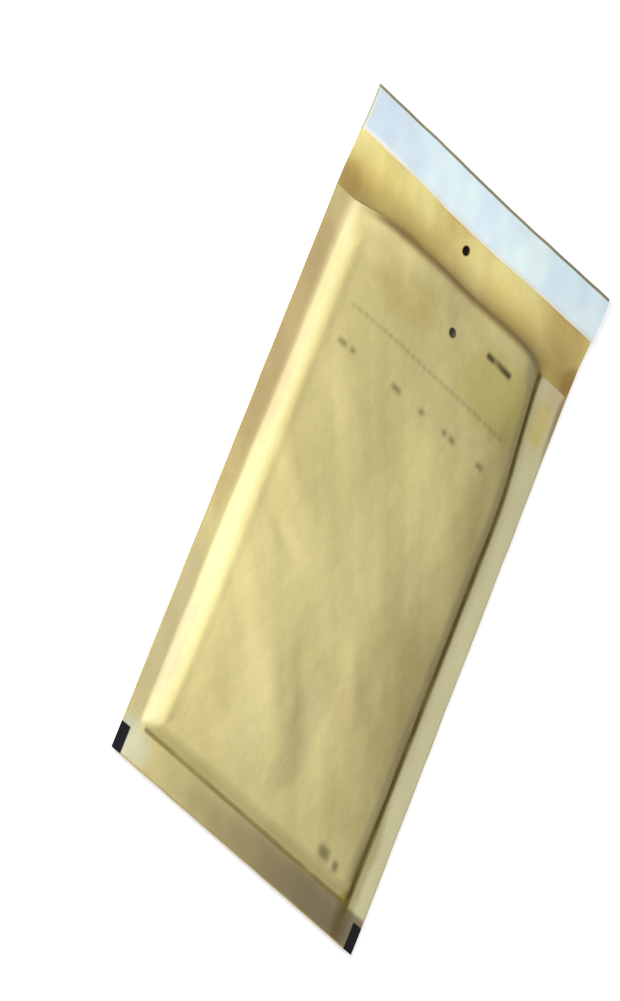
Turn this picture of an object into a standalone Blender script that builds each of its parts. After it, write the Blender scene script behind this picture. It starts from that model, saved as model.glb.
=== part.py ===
# Padded kraft bubble mailer, lying open and empty on its back panel.
# Metres, +Z up. X runs across the bag and Y along it, with the flap at +Y.
# The origin is under the middle of the whole bag, on the surface it lies on.
import math

import bmesh
import bpy
import numpy as np
from mathutils import Matrix, Vector

# Outline of the bag
WIDTH = 0.140
BODY = 0.230
FLAP = 0.042
SIDE_SEAL = 0.011
END_SEAL = 0.014

# Thickness of each layer, and the clearances between them
PAPER = 0.0003
FILM = 0.00025
BUBBLE_HEIGHT = 0.0020
LINING_GAP = 0.0003
SEAT_GAP = 0.0002
ADHESIVE = 0.0002
LINER = 0.00025

# How the two panels part: the pocket's height at its sides and in the middle
POCKET_EDGE = 0.0004
POCKET_CROWN = 0.0045
CROWN_ACROSS = 5
CROWN_ALONG = 10
FRONT_SHOULDER = 0.0052
RAMP_POWER = 1.6
MOUTH_SHOULDER = 0.0180
MOUTH_EASE = 0.0180
BACK_SHOULDER = 0.0080
SEAM_LAP = 0.00012
SEAM_STEP = 0.0004

# Bubble film: one web, folded once across the bottom of the pocket
BUBBLE_PITCH = 0.0115
BUBBLE_SLOPE = 0.0016
BUBBLE_ROOM = 0.0008
FILM_SIDE_ROOM = 0.0020
FILM_END_ROOM = 0.0024
FILM_MOUTH_ROOM = 0.0015
FOLD_RADIUS = 0.00035
PAD_RISE = 0.0045

# Flap: how soon its raised sides soften past the mouth, how far its end and its right corner lift
FLAP_SETTLE = 0.0120
FLAP_LIFT = 0.0040
CORNER_LIFT = 0.0010

# Holes for a paper fastener, the same distance on both sides of the mouth
HOLE_DIAMETER = 0.0035
HOLE_TO_MOUTH = 0.0175

# Self-seal strip and the release liner that covers it
LINER_WIDTH = 0.0170
LINER_END_ROOM = 0.0018
LINER_SIDE_ROOM = 0.0004
LINER_LIFT = 0.0002
CURL_REACH = 0.0015
ADHESIVE_WIDTH = 0.0120
ADHESIVE_SIDE_ROOM = 0.0015

# How finely the sheets are divided
ACROSS_STEP = 0.012
ALONG_STEP = 0.015
FLAP_STEP = 0.006
MOUTH_STEP = 0.0045
LEAST_STEP = 0.0008
SHOULDER_FACETS = 5
FOLD_FACETS = 3
PUNCH_SIDES = 24
SHARP_ANGLE = math.radians(35)
WHOLE_SHARE = 0.99

# Worked out from the sizes above
LENGTH = BODY + FLAP
BOTTOM_Y = -LENGTH / 2
MOUTH_Y = BOTTOM_Y + BODY
FLAP_END_Y = LENGTH / 2
POUCH_HALF = WIDTH / 2 - SIDE_SEAL
POUCH_START_Y = BOTTOM_Y + END_SEAL
POUCH_LENGTH = MOUTH_Y - POUCH_START_Y
HALF_STACK = PAPER + LINING_GAP + BUBBLE_HEIGHT + FILM
SEAL_Z = HALF_STACK
BACK_SEAL_Z = SEAL_Z - PAPER + SEAM_LAP / 2
FRONT_SEAL_Z = SEAL_Z + PAPER - SEAM_LAP / 2
SHOULDER_Z = 2 * HALF_STACK + POCKET_EDGE
FILM_HALF = POUCH_HALF - FILM_SIDE_ROOM
FILM_FOLD_Y = POUCH_START_Y + FILM_END_ROOM
FILM_REACH = MOUTH_Y - FILM_MOUTH_ROOM - FILM_FOLD_Y
FOLD_ARC = math.pi * FOLD_RADIUS / 2

# Colours, linear
KRAFT = (0.57, 0.47, 0.22)
FILM_TINT = (0.80, 0.84, 0.85)
GLUE_TINT = (0.72, 0.66, 0.50)
LINER_TINT = (0.78, 0.88, 0.95)


def shoulder(depth, reach):
    """Quarter ellipse: 0 at the seal, 1 once depth is past reach."""
    share = np.clip(depth / reach, 0, 1)
    return np.sqrt(1 - (1 - share) ** 2)


def ramp(depth, reach):
    """Rounded ramp: steep at the seal, level once depth is past reach."""
    share = np.clip(depth / reach, 0, 1)
    return 1 - (1 - share) ** RAMP_POWER


def crown(x, y):
    """Gentle hump of the front panel, flat in the middle and open at the mouth."""
    across = 1 - np.clip(np.abs(x) / POUCH_HALF, 0, 1) ** CROWN_ACROSS
    along = 1 - np.clip(1 - (y - POUCH_START_Y) / POUCH_LENGTH, 0, 1) ** CROWN_ALONG
    return POCKET_CROWN * across * along


def smooth(share):
    """S-curve from 0 to 1."""
    share = np.clip(share, 0, 1)
    return share * share * (3 - 2 * share)


def front_top(x, y):
    """Height of the front panel's outer face: sloping sides that flatten out at the mouth."""
    ease = smooth(1 - (MOUTH_Y - y) / MOUTH_EASE)
    reach = FRONT_SHOULDER + (MOUTH_SHOULDER - FRONT_SHOULDER) * ease
    side = ramp(POUCH_HALF - np.abs(x), reach)
    end = ramp(y - POUCH_START_Y, FRONT_SHOULDER)
    return FRONT_SEAL_Z + side * end * (SHOULDER_Z - FRONT_SEAL_Z + crown(x, y))


def back_under(x, y):
    """Height of the outer face of the back panel, which runs on into the flap."""
    side = shoulder(POUCH_HALF - np.abs(x), BACK_SHOULDER)
    end = shoulder(y - POUCH_START_Y, BACK_SHOULDER)
    panel = BACK_SEAL_Z * (1 - side * end)
    settle = smooth((y - MOUTH_Y) / FLAP_SETTLE)
    panel += settle * (BACK_SEAL_Z * smooth(2 * np.abs(x) / WIDTH) - panel)
    ease = smooth((y - MOUTH_Y) / FLAP)
    corner = CORNER_LIFT * np.clip(2 * x / WIDTH, 0, 1) ** 3
    return panel * (1 - ease) + ease * (FLAP_LIFT + corner)


def film_front(x, y):
    """Height of the front lining's pocket side: low at its edges, under the panel inside."""
    edge = SEAL_Z + FOLD_RADIUS
    return edge + pad_rise(x, y) * max(0, front_top(x, y) - HALF_STACK - edge)


def film_back(x, y):
    """Height of the back lining's pocket side."""
    edge = SEAL_Z - FOLD_RADIUS
    return edge + pad_rise(x, y) * (HALF_STACK - edge)


def pad_rise(x, y):
    """How far the lining has risen from its flat edges to its full thickness."""
    side = np.clip((FILM_HALF - np.abs(x)) / PAD_RISE, 0, 1)
    end = np.clip((y - FILM_FOLD_Y) / PAD_RISE, 0, 1)
    return side * end


def steps(start, end, longest):
    """Even stations from start to end, no further apart than longest."""
    count = max(1, math.ceil((end - start) / longest - 1e-9))
    return list(np.linspace(start, end, count + 1)[:-1])


def shoulder_steps(foot, reach):
    """Stations that follow a quarter ellipse at even angles."""
    angles = np.linspace(0, math.pi / 2, SHOULDER_FACETS + 1)[:-1]
    return [foot + reach * (1 - math.cos(angle)) for angle in angles]


def thin_out(stations):
    """Drop the stations that lie closer than the least step to the one before."""
    kept = []
    for station in sorted(stations, reverse=True):
        if not kept or kept[-1] - station > LEAST_STEP:
            kept.append(station)
    return kept[::-1]


def across_stations(half_width, reach, mouth_reach):
    """Stations across the bag, close together on the shoulders, the same on both sides."""
    flat = POUCH_HALF - max(reach, mouth_reach)
    inner = steps(0, flat, ACROSS_STEP)[1:] + [flat, POUCH_HALF - reach]
    wall = [POUCH_HALF - foot for foot in shoulder_steps(0, reach) + shoulder_steps(0, mouth_reach)]
    margin = [POUCH_HALF + SIDE_SEAL / 2, half_width]
    right = thin_out(inner + wall) + margin
    return [-x for x in reversed(right)] + [0.0] + right


def along_stations(start, reach, end):
    """Stations along the bag, from the bottom edge to the given end."""
    margin = [start, POUCH_START_Y - END_SEAL / 2]
    wall = shoulder_steps(POUCH_START_Y, reach)
    panel = steps(POUCH_START_Y + reach, MOUTH_Y - MOUTH_EASE, ALONG_STEP)
    panel += steps(MOUTH_Y - MOUTH_EASE, MOUTH_Y, MOUTH_STEP) + [MOUTH_Y]
    flap = steps(MOUTH_Y, end, FLAP_STEP)[1:] + [end] if end > MOUTH_Y else []
    return margin + wall + panel + flap


def material(name, colour, roughness, alpha=1.0):
    """Plain finish of one colour."""
    made = bpy.data.materials.new(name)
    made.use_nodes = True
    made.diffuse_color = (*colour, 1)
    shader = made.node_tree.nodes["Principled BSDF"]
    shader.inputs["Base Color"].default_value = (*colour, 1)
    shader.inputs["Roughness"].default_value = roughness
    shader.inputs["Metallic"].default_value = 0
    shader.inputs["Alpha"].default_value = alpha
    return made


def place(name, bm, collection, finish=None):
    """Turn a bmesh into a named object in its collection."""
    mesh = bpy.data.meshes.new(name)
    bm.to_mesh(mesh)
    bm.free()
    mesh.shade_smooth()
    mesh.set_sharp_from_angle(angle=SHARP_ANGLE)
    made = bpy.data.objects.new(name, mesh)
    collection.objects.link(made)
    if finish is None:
        made.hide_render = True
        made.display_type = "WIRE"
    else:
        mesh.materials.append(finish)
    return made


def sheet(columns, rows, height):
    """Open sheet: a grid primitive whose points take the stations and a height formula."""
    bm = bmesh.new()
    bmesh.ops.create_grid(bm, x_segments=len(columns) - 1, y_segments=len(rows) - 1, size=0.5)
    for point in bm.verts:
        x = columns[round((point.co.x + 0.5) * (len(columns) - 1))]
        y = rows[round((point.co.y + 0.5) * (len(rows) - 1))]
        point.co = Vector((x, y, float(height(x, y))))
    return bm


def solidify(piece, thickness, side):
    """Give an open sheet its thickness, along its normals (1) or against them (-1)."""
    wall = piece.modifiers.new("thickness", "SOLIDIFY")
    wall.thickness = thickness
    wall.offset = side
    wall.use_even_offset = True


def combine(piece, other, operation):
    """Join another form to a piece, or cut it away."""
    boolean = piece.modifiers.new(operation.lower(), "BOOLEAN")
    boolean.operation = operation
    boolean.solver = "EXACT"
    boolean.object = other


def punch(name, y, low, high, collection):
    """Round punch that makes one fastener hole on the bag's centre line."""
    bm = bmesh.new()
    place_at = Matrix.Translation((0, y, (low + high) / 2))
    radius = HOLE_DIAMETER / 2
    bmesh.ops.create_cone(bm, segments=PUNCH_SIDES, radius1=radius, radius2=radius,
                          depth=high - low, cap_ends=True, matrix=place_at)
    return place(name, bm, collection)


def kraft_envelope(parts, cutters, flap_punch, panel_punch):
    """One kraft sheet: back panel and flap, with the front panel sealed to it on three sides."""
    columns = across_stations(WIDTH / 2, BACK_SHOULDER, BACK_SHOULDER)
    rows = along_stations(BOTTOM_Y, BACK_SHOULDER, FLAP_END_Y)
    paper = material("kraft_paper", KRAFT, 0.8)
    back = place("kraft_envelope", sheet(columns, rows, back_under), parts, paper)
    solidify(back, PAPER, 1)

    columns = across_stations(WIDTH / 2 - SEAM_STEP, FRONT_SHOULDER, MOUTH_SHOULDER)
    rows = along_stations(BOTTOM_Y + SEAM_STEP, FRONT_SHOULDER, MOUTH_Y)
    front = place("front_panel_form", sheet(columns, rows, front_top), cutters)
    solidify(front, PAPER, -1)

    combine(back, front, "UNION")
    combine(back, flap_punch, "DIFFERENCE")
    combine(back, panel_punch, "DIFFERENCE")


def bubble_cells():
    """Flat web of six-sided cells, cut to the film's width and length."""
    bm = bmesh.new()
    side = BUBBLE_PITCH / math.sqrt(3)
    rows = math.ceil((FILM_REACH + FOLD_ARC) / (1.5 * side)) + 1
    columns = math.ceil(FILM_HALF / BUBBLE_PITCH) + 1
    for row in range(-rows, rows + 1):
        stagger = BUBBLE_PITCH / 2 if row % 2 else 0
        for column in range(-columns, columns + 1):
            centre = Matrix.Translation((column * BUBBLE_PITCH + stagger, row * 1.5 * side, 0))
            bmesh.ops.create_circle(bm, cap_ends=True, segments=6, radius=side, matrix=centre)
    bmesh.ops.remove_doubles(bm, verts=bm.verts, dist=BUBBLE_PITCH / 1000)
    bmesh.ops.recalc_face_normals(bm, faces=bm.faces)
    ends = FILM_REACH + FOLD_ARC
    for side in (-1, 1):
        cut(bm, (side * FILM_HALF, 0, 0), (side, 0, 0), True)
        cut(bm, (0, side * ends, 0), (0, side, 0), True)
    return bm


def cut(bm, point, normal, drop):
    """Cut the whole web along a plane, and drop what lies past it if asked."""
    geometry = bm.verts[:] + bm.edges[:] + bm.faces[:]
    bmesh.ops.bisect_plane(bm, geom=geometry, dist=1e-6, plane_co=point, plane_no=normal, clear_outer=drop)


def fold_web(point):
    """Carry a point of the flat web to the folded one: back half, turn, front half."""
    x = point.x
    along = point.y
    if abs(along) < FOLD_ARC:
        turn = along / FOLD_RADIUS
        return Vector((x, FILM_FOLD_Y - FOLD_RADIUS * math.cos(turn), SEAL_Z + FOLD_RADIUS * math.sin(turn)))
    y = FILM_FOLD_Y + abs(along) - FOLD_ARC
    height = film_front(x, y) if along > 0 else film_back(x, y)
    return Vector((x, y, float(height)))


def bubble_lining(parts, panel_punch):
    """One bubble-film web folded at the bottom, its flat side to the pocket."""
    bm = bubble_cells()
    for share in np.linspace(-1, 1, FOLD_FACETS + 1):
        cut(bm, (0, share * FOLD_ARC, 0), (0, 1, 0), False)
    for side in (-1, 1):
        cut(bm, (0, side * (FOLD_ARC + PAD_RISE), 0), (0, 1, 0), False)
        cut(bm, (side * (FILM_HALF - PAD_RISE), 0, 0), (1, 0, 0), False)
    whole_cell = WHOLE_SHARE * BUBBLE_PITCH ** 2 * math.sqrt(3) / 2
    for face in bm.faces:
        room = min(bubble_room(point.co) for point in face.verts)
        face.material_index = int(face.calc_area() > whole_cell and room > BUBBLE_ROOM)
    for point in bm.verts:
        point.co = fold_web(point.co)
    bm.normal_update()
    bmesh.ops.solidify(bm, geom=bm.faces[:], thickness=-FILM)
    bmesh.ops.recalc_face_normals(bm, faces=bm.faces)
    bubbles = [face for face in bm.faces if face.material_index == 1 and faces_paper(face)]
    bmesh.ops.inset_individual(bm, faces=bubbles, thickness=BUBBLE_SLOPE, depth=BUBBLE_HEIGHT,
                               use_even_offset=True)
    for face in bm.faces:
        face.material_index = 0
    lining = place("bubble_lining", bm, parts, material("bubble_film", FILM_TINT, 0.15, 0.6))
    combine(lining, panel_punch, "DIFFERENCE")


def bubble_room(point):
    """Height that is left under the front panel once a bubble stands on the film; the back half has room."""
    y = FILM_FOLD_Y + abs(point.y)
    if point.y < 0:
        return HALF_STACK
    return float(front_top(point.x, y)) - HALF_STACK - SEAL_Z - FOLD_RADIUS


def faces_paper(face):
    """True on the side of the film that the bubbles stand on."""
    front_half = face.calc_center_median().z > SEAL_Z + FOLD_RADIUS / 2
    return (face.normal.z > 0) == front_half


def flap_strip(name, start, end, half_width, low, thickness, finish, parts, lift=0):
    """Thin strip that follows the flap's upper face, its lower edge lifted if asked."""
    bag_columns = across_stations(WIDTH / 2, BACK_SHOULDER, BACK_SHOULDER)
    bag_rows = along_stations(BOTTOM_Y, BACK_SHOULDER, FLAP_END_Y)
    columns = [-half_width] + [x for x in bag_columns if abs(x) < half_width - SEAT_GAP] + [half_width]
    rows = [start, start + CURL_REACH]
    rows += [y for y in bag_rows if start + 2 * CURL_REACH < y < end - SEAT_GAP] + [end]

    def height(x, y):
        curl = lift * np.clip(1 - (y - start) / CURL_REACH, 0, 1)
        return back_under(x, y) + PAPER + low + curl

    strip = place(name, sheet(columns, rows, height), parts, finish)
    solidify(strip, thickness, 1)


def main():
    for old in list(bpy.data.objects):
        bpy.data.objects.remove(old, do_unlink=True)
    parts = bpy.data.collections.new("bubble_bag")
    cutters = bpy.data.collections.new("cutters")
    bpy.context.scene.collection.children.link(parts)
    bpy.context.scene.collection.children.link(cutters)

    flap_top = FLAP_LIFT + CORNER_LIFT + 2 * PAPER
    flap_punch = punch("flap_punch", MOUTH_Y + HOLE_TO_MOUTH, -PAPER, flap_top, cutters)
    in_pocket = HALF_STACK + POCKET_CROWN / 2
    panel_top = SHOULDER_Z + POCKET_CROWN + BUBBLE_HEIGHT
    panel_punch = punch("panel_punch", MOUTH_Y - HOLE_TO_MOUTH, in_pocket, panel_top, cutters)
    kraft_envelope(parts, cutters, flap_punch, panel_punch)
    bubble_lining(parts, panel_punch)

    liner_end = FLAP_END_Y - LINER_END_ROOM
    liner_start = liner_end - LINER_WIDTH
    glue_start = liner_start + (LINER_WIDTH - ADHESIVE_WIDTH) / 2
    flap_strip("adhesive_strip", glue_start, glue_start + ADHESIVE_WIDTH, WIDTH / 2 - ADHESIVE_SIDE_ROOM,
               SEAT_GAP, ADHESIVE, material("hot_melt_glue", GLUE_TINT, 0.35), parts)
    flap_strip("release_liner", liner_start, liner_end, WIDTH / 2 - LINER_SIDE_ROOM,
               2 * SEAT_GAP + ADHESIVE, LINER, material("release_film", LINER_TINT, 0.4), parts, LINER_LIFT)


main()
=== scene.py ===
# %% [markdown]
# # A padded kraft mailer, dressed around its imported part
# The real bag is a kraft paper pouch with bubble film glued inside it. It lies on its back with its flap
# open, and a pale release liner still covers the glue on the flap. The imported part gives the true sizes,
# and this lesson gives every sheet its fine surface and its finish. Each sheet is a height worked out
# over a grid, because paper is one surface that bends: a formula keeps it smooth and easy to change.

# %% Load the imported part
import math

import bpy
import numpy as np
from mathutils import Matrix, Vector


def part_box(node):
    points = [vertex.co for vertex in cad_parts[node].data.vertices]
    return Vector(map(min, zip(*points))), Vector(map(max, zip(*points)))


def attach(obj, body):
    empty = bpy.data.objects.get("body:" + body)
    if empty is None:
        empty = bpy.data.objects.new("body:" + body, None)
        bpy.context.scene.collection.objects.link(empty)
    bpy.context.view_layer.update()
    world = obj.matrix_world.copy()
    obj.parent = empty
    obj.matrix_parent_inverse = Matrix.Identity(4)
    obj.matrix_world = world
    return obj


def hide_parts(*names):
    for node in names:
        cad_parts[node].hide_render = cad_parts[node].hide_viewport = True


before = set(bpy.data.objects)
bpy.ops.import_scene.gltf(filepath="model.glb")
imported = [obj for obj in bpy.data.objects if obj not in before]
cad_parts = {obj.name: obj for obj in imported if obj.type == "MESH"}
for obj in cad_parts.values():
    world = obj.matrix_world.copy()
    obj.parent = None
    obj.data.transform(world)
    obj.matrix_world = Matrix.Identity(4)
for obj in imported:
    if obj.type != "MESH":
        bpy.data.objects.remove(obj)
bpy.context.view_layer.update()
print("packed nodes:", sorted(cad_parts))

# %% [markdown]
# ## Sizes
# The bag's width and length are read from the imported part. The rest repeats the part's own design: the
# widths of the sealed margins, the thickness of each layer and how far the pocket stands open. All
# lengths are in metres, X runs across the bag, and Y runs along it towards the flap.

# %% Sizes of the bag
MM = 0.001
bag_low, bag_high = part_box("kraft_envelope")
HALF_WIDTH = bag_high.x
BOTTOM_Y = bag_low.y
FLAP_END_Y = bag_high.y
FLAP = 42 * MM
MOUTH_Y = FLAP_END_Y - FLAP
SIDE_SEAL = 11 * MM
END_SEAL = 14 * MM
POUCH_HALF = HALF_WIDTH - SIDE_SEAL
POUCH_START_Y = BOTTOM_Y + END_SEAL
POUCH_LENGTH = MOUTH_Y - POUCH_START_Y
HOLE_RADIUS = 1.75 * MM
HOLE_TO_MOUTH = 17.5 * MM
print("bag", round(2000 * HALF_WIDTH, 1), "mm wide,", round(1000 * (FLAP_END_Y - BOTTOM_Y), 1), "mm long")

# %% Thickness of the layers
PAPER = 0.3 * MM
FILM = 0.25 * MM
LAYER_GAP = 0.3 * MM
BUBBLE_HEIGHT = 2.0 * MM
SEAM_LAP = 0.12 * MM
HALF_STACK = PAPER + LAYER_GAP + BUBBLE_HEIGHT + FILM
BACK_SEAL_Z = HALF_STACK - PAPER + SEAM_LAP / 2
FRONT_SEAL_Z = HALF_STACK + PAPER - SEAM_LAP / 2

# %% Heights of the pouch
POCKET_EDGE = 0.4 * MM
POCKET_CROWN = 4.5 * MM
CROWN_ACROSS = 5
CROWN_ALONG = 10
LEFT_SHOULDER = 4.8 * MM
RIGHT_SHOULDER = 10 * MM
END_SHOULDER = 5.2 * MM
RAMP_POWER = 1.7
FOOT_SOFT = 1.2 * MM
LEFT_SPREAD = 1.6 * MM
LEFT_SPREAD_MORE = 2.2 * MM
RIGHT_PULL = 5.5 * MM
RIGHT_PULL_REACH = 60 * MM
CREASE_SHARE = 0.75
MOUTH_SHOULDER = 18 * MM
MOUTH_EASE = 18 * MM
BACK_SHOULDER = 8 * MM
BACK_MOUTH_REACH = 8 * MM
BACK_MOUTH_EASE = 6 * MM
SHOULDER_Z = 2 * HALF_STACK + POCKET_EDGE
FLAP_SETTLE = 12 * MM
FLAP_LIFT = 4.0 * MM
CORNER_LIFT = 1.0 * MM

# %% [markdown]
# ## Camera
# The photograph was taken from a slant, with a long lens and the camera turned so that the flap points
# up. The camera comes first, so that each piece can be judged from there as soon as it is made. Its
# place is given as an aim, a distance and three angles, which say more than a matrix would.

# %% The camera stands where the photograph was taken
AIM = Vector((-24.12 * MM, -7.89 * MM, 0.0))
VIEW_AZIMUTH = math.radians(55.976)
VIEW_ELEVATION = math.radians(42.313)
VIEW_ROLL = math.radians(87.181)
VIEW_DISTANCE = 4.18
SENSOR_MM = 36
LENS_MM = 431.6


def make_camera():
    """Look at the aim from its azimuth and elevation, then turn about the line of sight."""
    level = math.cos(VIEW_ELEVATION)
    forward_x = level * math.sin(VIEW_AZIMUTH)
    forward_y = level * math.cos(VIEW_AZIMUTH)
    forward = Vector((forward_x, forward_y, -math.sin(VIEW_ELEVATION)))
    level_right = forward.cross(Vector((0, 0, 1))).normalized()
    level_up = level_right.cross(forward)
    right = math.cos(VIEW_ROLL) * level_right + math.sin(VIEW_ROLL) * level_up
    up = right.cross(forward)
    lens = bpy.data.cameras.new("photo_camera")
    lens.sensor_width = SENSOR_MM
    lens.lens = LENS_MM
    camera = bpy.data.objects.new("photo_camera", lens)
    turn = Matrix((right, up, -forward)).transposed().to_4x4()
    camera.matrix_world = Matrix.Translation(AIM - VIEW_DISTANCE * forward) @ turn
    bpy.context.scene.collection.objects.link(camera)
    bpy.context.scene.camera = camera
    return camera


camera = make_camera()
print("camera at", [round(value, 3) for value in camera.matrix_world.translation])

# %% [markdown]
# ## Sheets from grids
# A sheet of paper or film has two faces and a thin edge all round. It could be a plane with a Solidify
# modifier. Here both faces are worked out as arrays of points, and the edge is closed wherever a kept
# cell has no kept neighbour, so that punched holes get their own thin walls.

# %% Stations: where the grid lines lie
def stations(start, *runs):
    """Grid lines from start through runs of (end, longest step), evenly spaced within each run."""
    lines = [start]
    for end, step in runs:
        count = max(1, math.ceil((end - lines[-1]) / step - 1e-6))
        lines.extend(np.linspace(lines[-1], end, count + 1)[1:])
    return np.array(lines)


def mirrored(half):
    """Lines on both sides of zero from those on the right side, which start at zero."""
    return np.concatenate([-half[:0:-1], half])


# %% Round holes in a square grid
HOLE_CELLS = 3
HOLE_STEP = HOLE_RADIUS / HOLE_CELLS
HOLE_REACH = 3.0


def smooth(share):
    """S-curve from 0 to 1: 3 s^2 - 2 s^3."""
    share = np.clip(share, 0, 1)
    return share * share * (3 - 2 * share)


def round_off(x, y, hole_y):
    """Carry the square of half side HOLE_RADIUS round (0, hole_y) to a circle.

    A point at the largest offset m and the distance d is scaled by m / d, which turns squares into
    circles. The effect fades out between m = 1 and m = HOLE_REACH radii.
    """
    across = x / HOLE_RADIUS
    along = (y - hole_y) / HOLE_RADIUS
    largest = np.maximum(np.abs(across), np.abs(along))
    distance = np.maximum(np.hypot(across, along), 1e-9)
    fade = smooth((HOLE_REACH - largest) / (HOLE_REACH - 1))
    scale = 1 + fade * (largest / distance - 1)
    return x * scale, hole_y + (y - hole_y) * scale


def open_cells(x, y, hole_y):
    """True for each grid cell, but False where its middle lies inside the hole's square."""
    middle_x = (x[:-1, :-1] + x[1:, 1:]) / 2
    middle_y = (y[:-1, :-1] + y[1:, 1:]) / 2
    inside = (np.abs(middle_x) < HOLE_RADIUS) & (np.abs(middle_y - hole_y) < HOLE_RADIUS)
    return ~inside


# %% Normals of a grid of points
def grid_normals(points):
    """Unit normals: the cross product of the steps along a row and along a column."""
    along_row = np.gradient(points, axis=1)
    along_column = np.gradient(points, axis=0)
    normals = np.cross(along_row, along_column)
    return normals / np.linalg.norm(normals, axis=2, keepdims=True)


# %% A closed sheet from its two faces
def wall_cells(quads, total):
    """Edge walls: every directed edge of the quads whose reverse is missing joins the two faces."""
    first = quads.ravel()
    second = np.roll(quads, -1, axis=1).ravel()
    lone = ~np.isin(first * total + second, second * total + first)
    first, second = first[lone], second[lone]
    return np.stack([second, first, first + total, second + total], axis=1)


def sheet_mesh(name, upper, lower, kept=None):
    """Closed mesh: the upper face, the lower face turned over, and thin walls round every open edge."""
    rows, columns = upper.shape[:2]
    total = rows * columns
    index = np.arange(total).reshape(rows, columns)
    quads = np.stack([index[:-1, :-1], index[:-1, 1:], index[1:, 1:], index[1:, :-1]], axis=-1)
    quads = quads.reshape(-1, 4) if kept is None else quads[kept]
    faces = np.concatenate([quads, quads[:, ::-1] + total, wall_cells(quads, total)])
    points = np.concatenate([upper.reshape(-1, 3), lower.reshape(-1, 3)])
    used = np.unique(faces)
    place = np.zeros(2 * total, int)
    place[used] = np.arange(len(used))
    return fill_mesh(name, points[used], place[faces])


SHARP_EDGE = math.radians(50)


def fill_mesh(name, points, faces):
    """Mesh of quads, shaded smooth apart from its sharp edges."""
    mesh = bpy.data.meshes.new(name)
    mesh.vertices.add(len(points))
    mesh.vertices.foreach_set("co", points.astype(np.float32).ravel())
    mesh.loops.add(faces.size)
    mesh.loops.foreach_set("vertex_index", faces.astype(np.int32).ravel())
    mesh.polygons.add(len(faces))
    mesh.polygons.foreach_set("loop_start", np.arange(0, faces.size, 4, dtype=np.int32))
    mesh.update(calc_edges=True)
    mesh.validate()
    mesh.shade_smooth()
    mesh.set_sharp_from_angle(angle=SHARP_EDGE)
    return mesh


# %% A piece of the bag
def make_piece(name, mesh, node, material):
    """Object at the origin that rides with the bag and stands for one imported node."""
    mesh.materials.append(material)
    piece = bpy.data.objects.new(name, mesh)
    bpy.context.scene.collection.objects.link(piece)
    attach(piece, "root")
    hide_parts(node)
    print(name, "stands for", node, "with", 2 * len(mesh.polygons), "triangles")


# %% [markdown]
# ## The form of the pouch
# Two sheets are sealed along three sides, and the bubble film between them lifts the front one into a
# low cushion with steep shoulders. The formulas are the part's own, so the fine sheets lie where the
# solids do, apart from the shoulders. The photo shows these softer at their foot, wider on the right,
# spread over the left seal a little, and drawn in towards the mouth on the right.

# %% The part's own heights
def shoulder(depth, reach):
    """Quarter ellipse: 0 at the seal, 1 once the depth is past the reach."""
    share = np.clip(depth / reach, 0, 1)
    return np.sqrt(1 - (1 - share) ** 2)


def slope(depth, reach):
    """Rounded ramp, 1 - (1 - depth / reach)^1.7, times 1 - e^-(depth / soft)^2, which eases its foot."""
    share = np.clip(depth / reach, 0, 1)
    foot = 1 - np.exp(-((np.maximum(depth, 0) / FOOT_SOFT) ** 2))
    return foot * (1 - (1 - share) ** RAMP_POWER)


def crown(x, y):
    """Hump of the front panel: one minus |x| / half to the fifth, times the same along Y to the tenth."""
    across = 1 - np.clip(np.abs(x) / POUCH_HALF, 0, 1) ** CROWN_ACROSS
    along = 1 - np.clip(1 - (y - POUCH_START_Y) / POUCH_LENGTH, 0, 1) ** CROWN_ALONG
    return POCKET_CROWN * across * along


def left_foot(y):
    """Distance of the left shoulder's foot from the middle: out over the seal, most so at the bottom."""
    return POUCH_HALF + LEFT_SPREAD + LEFT_SPREAD_MORE * smooth((MOUTH_Y - y) / POUCH_LENGTH)


def right_foot(y):
    """Distance of the right shoulder's foot from the middle: the mouth draws it in."""
    return POUCH_HALF - RIGHT_PULL * smooth(1 - (MOUTH_Y - y) / RIGHT_PULL_REACH)


def pouch_depth(x, y):
    """Distance inside the nearer foot: the foot's own distance from the middle minus |x|."""
    return np.where(x > 0, right_foot(y) - x, left_foot(y) + x)


def front_form(x, y):
    """Outer face of the front panel: seal height plus both slopes times the rise and the crown."""
    ease = smooth(1 - (MOUTH_Y - y) / MOUTH_EASE)
    reach = np.where(x > 0, RIGHT_SHOULDER, LEFT_SHOULDER)
    reach = reach + (MOUTH_SHOULDER - reach) * ease
    side = slope(pouch_depth(x, y), reach)
    end = slope(y - POUCH_START_Y, END_SHOULDER)
    return FRONT_SEAL_Z + side * end * (SHOULDER_Z - FRONT_SEAL_Z + crown(x, y))


def back_form(x, y):
    """Outer face of the back panel, flat inside the seals, which eases into the lifted flap.

    By the mouth its side shoulders turn into softer ones, as those of the settling flap are.
    """
    depth = POUCH_HALF - np.abs(x)
    side = shoulder(depth, BACK_SHOULDER)
    near_mouth = smooth((y - MOUTH_Y) / BACK_MOUTH_REACH + 1)
    soft_side = smooth((depth + BACK_MOUTH_EASE) / (BACK_SHOULDER + 2 * BACK_MOUTH_EASE))
    side += near_mouth * (soft_side - side)
    end = shoulder(y - POUCH_START_Y, BACK_SHOULDER)
    panel = BACK_SEAL_Z * (1 - side * end)
    settle = smooth((y - MOUTH_Y) / FLAP_SETTLE)
    panel += settle * (BACK_SEAL_Z * smooth(np.abs(x) / HALF_WIDTH) - panel)
    ease = smooth((y - MOUTH_Y) / FLAP)
    corner = CORNER_LIFT * np.clip(x / HALF_WIDTH, 0, 1) ** 3
    return panel * (1 - ease) + ease * (FLAP_LIFT + corner)


# %% [markdown]
# ## Creases and swells
# Paper over bubble film is never quite flat. It swells softly between places where it was pressed, and
# it keeps shallow creases from being handled. Swells are a sum of seeded cosine waves. Each crease is
# one line of the list below, read off the photograph, because nobody can guess creases by formula.

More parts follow.
